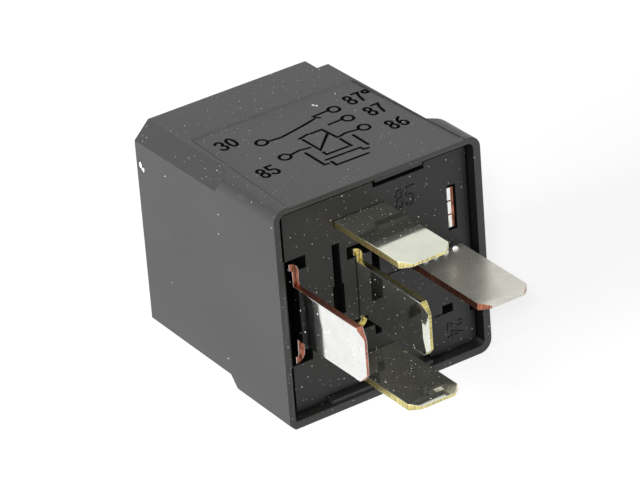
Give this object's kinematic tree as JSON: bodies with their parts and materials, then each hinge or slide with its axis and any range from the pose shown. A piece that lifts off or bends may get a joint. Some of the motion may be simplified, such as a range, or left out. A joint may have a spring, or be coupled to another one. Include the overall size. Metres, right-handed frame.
{
  "type": "automotive relay",
  "caption": "Plug-in changeover relay: square black case with flat blades, coil, hinged armature and contacts inside.",
  "frame": {"origin": "centre of the underside of the whole relay's box, on the surface that it lies on", "axes": "+Y runs from the blade tips to the closed end, +Z is the face with the circuit, +X is to the right when looking at the blades"},
  "size_m": [0.026, 0.038, 0.026],
  "materials": {
    "case_plastic": "fine matt black moulded plastic",
    "base_plastic": "satin black moulded plastic",
    "tinned_brass": "bright tin plate, bare brass at the cut edges",
    "tinned_copper": "bright tin plate, bare copper at the cut edges",
    "plated_steel": "zinc-plated soft iron",
    "bobbin_plastic": "natural nylon",
    "enamelled_wire": "enamelled copper wire",
    "spring_copper": "rolled copper alloy",
    "silver_alloy": "silver alloy",
    "diode_epoxy": "moulded black epoxy"
  },
  "bodies": {
    "root": {"cap": "case_plastic", "base": "base_plastic", "terminal_30": "tinned_copper", "terminal_85": "tinned_brass", "terminal_86": "tinned_brass", "terminal_87": "tinned_copper", "terminal_87a": "tinned_brass", "yoke": "plated_steel", "core": "plated_steel", "bobbin": "bobbin_plastic", "winding": "enamelled_wire", "coil_wire_85": "enamelled_wire", "coil_wire_86": "enamelled_wire", "contact_87": "silver_alloy", "contact_87a": "silver_alloy", "yoke_rivets": "plated_steel", "diode_body": "diode_epoxy", "diode_leads": "tinned_copper"},
    "armature": {"armature": "plated_steel", "contact_spring": "spring_copper", "moving_contact": "silver_alloy", "armature_rivets": "plated_steel"}
  },
  "joints": [
    {"name": "armature_hinge", "type": "hinge", "parent": "root", "child": "armature", "pos_m": [0.0082, 0.01218, 0.013], "axis": [0, 0, 1], "range_deg": [0, 1.7], "stiffness_Nm_per_rad": 0.02, "springref_deg": -14.32, "deforming": ["contact_spring"]}
  ]
}
